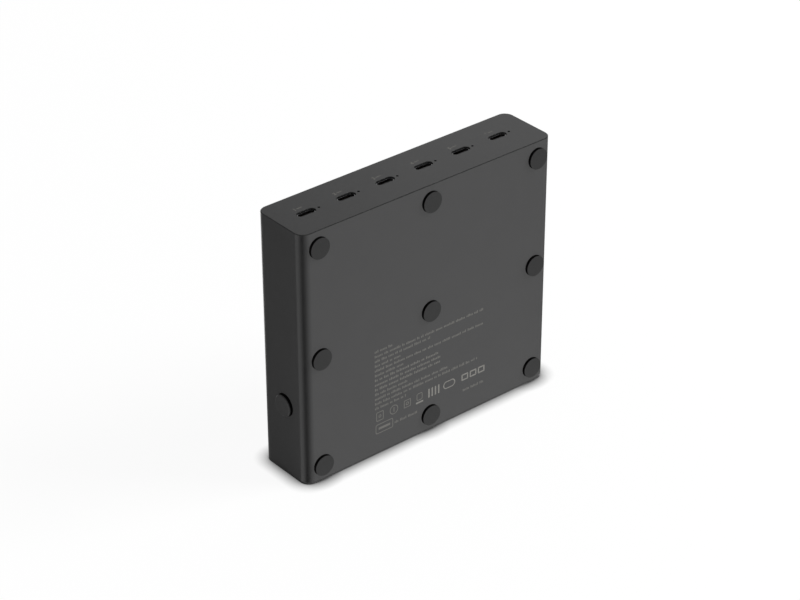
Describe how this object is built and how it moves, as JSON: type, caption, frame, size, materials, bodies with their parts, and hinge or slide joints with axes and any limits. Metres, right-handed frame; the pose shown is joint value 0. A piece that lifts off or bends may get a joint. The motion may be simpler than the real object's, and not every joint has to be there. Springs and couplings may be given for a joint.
{
  "type": "multi port usb desktop charger",
  "caption": "Flat desktop charger with a row of USB-C sockets on one edge, round rubber feet, a side power button and a mains inlet.",
  "frame": {"origin": "centre of the housing's flat rear face, on which it stands", "axes": "+X along the row of sockets, +Y away from the feet, +Z towards the sockets"},
  "size_m": [0.1416, 0.032, 0.125],
  "materials": {
    "housing_plastic": "fine satin, dark grey",
    "button_plastic": "satin, dark grey",
    "foot_rubber": "matt black",
    "socket_steel": "black nickel plate",
    "socket_plastic": "black moulding",
    "inlet_plastic": "black moulding",
    "plated_brass": "nickel plated",
    "clear_plastic": "smoked light guide",
    "led_white": "moulded",
    "screw_steel": "black zinc",
    "circuit_board": "solder mask",
    "insulation": "film",
    "thermal_pad": "soft pad",
    "aluminium": "mill finish",
    "spacer_brass": "turned",
    "black_plastic": "moulded",
    "white_plastic": "moulded",
    "blue_coating": "dipped",
    "yellow_case": "moulded case",
    "ferrite": "sintered",
    "copper_winding": "enamelled wire",
    "capacitor_can": "sleeved can"
  },
  "bodies": {
    "housing": {"housing_sleeve": "housing_plastic", "port_panel": "housing_plastic", "rear_cap": "housing_plastic", "foot_top_left": "foot_rubber", "foot_top_centre": "foot_rubber", "foot_top_right": "foot_rubber", "foot_middle_left": "foot_rubber", "foot_middle_centre": "foot_rubber", "foot_middle_right": "foot_rubber", "foot_bottom_left": "foot_rubber", "foot_bottom_centre": "foot_rubber", "foot_bottom_right": "foot_rubber", "usb_shell_1": "socket_steel", "usb_shell_2": "socket_steel", "usb_shell_3": "socket_steel", "usb_shell_4": "socket_steel", "usb_shell_5": "socket_steel", "usb_shell_6": "socket_steel", "usb_tongue_1": "socket_plastic", "usb_tongue_2": "socket_plastic", "usb_tongue_3": "socket_plastic", "usb_tongue_4": "socket_plastic", "usb_tongue_5": "socket_plastic", "usb_tongue_6": "socket_plastic", "ac_inlet": "inlet_plastic", "line_pin": "plated_brass", "neutral_pin": "plated_brass", "earth_pin": "plated_brass", "light_guide": "clear_plastic", "status_leds": "led_white", "board_screws": "screw_steel", "main_board": "circuit_board", "port_board": "circuit_board", "insulating_sheet": "insulation", "thermal_pads": "thermal_pad", "heat_spreader": "aluminium", "heatsink": "aluminium", "board_spacers": "spacer_brass", "board_header": "black_plastic", "power_switch": "black_plastic", "power_transistors": "black_plastic", "bridge_rectifier": "black_plastic", "fuse": "black_plastic", "boost_bobbin": "black_plastic", "transformer_bobbin": "black_plastic", "varistor": "blue_coating", "filter_capacitor": "yellow_case", "choke_core": "ferrite", "boost_core": "ferrite", "transformer_core": "ferrite", "output_inductors": "ferrite", "choke_windings": "copper_winding", "boost_winding": "copper_winding", "transformer_winding": "copper_winding", "bulk_capacitors": "capacitor_can", "output_capacitors": "capacitor_can"},
    "button": {"power_button": "button_plastic", "switch_plunger": "white_plastic"}
  },
  "joints": [
    {"name": "button_press", "type": "slide", "parent": "housing", "child": "button", "axis": [1, 0, 0], "range_m": [0, 0.0012], "stiffness_N_per_m": 1200, "springref_m": -0.0004}
  ]
}
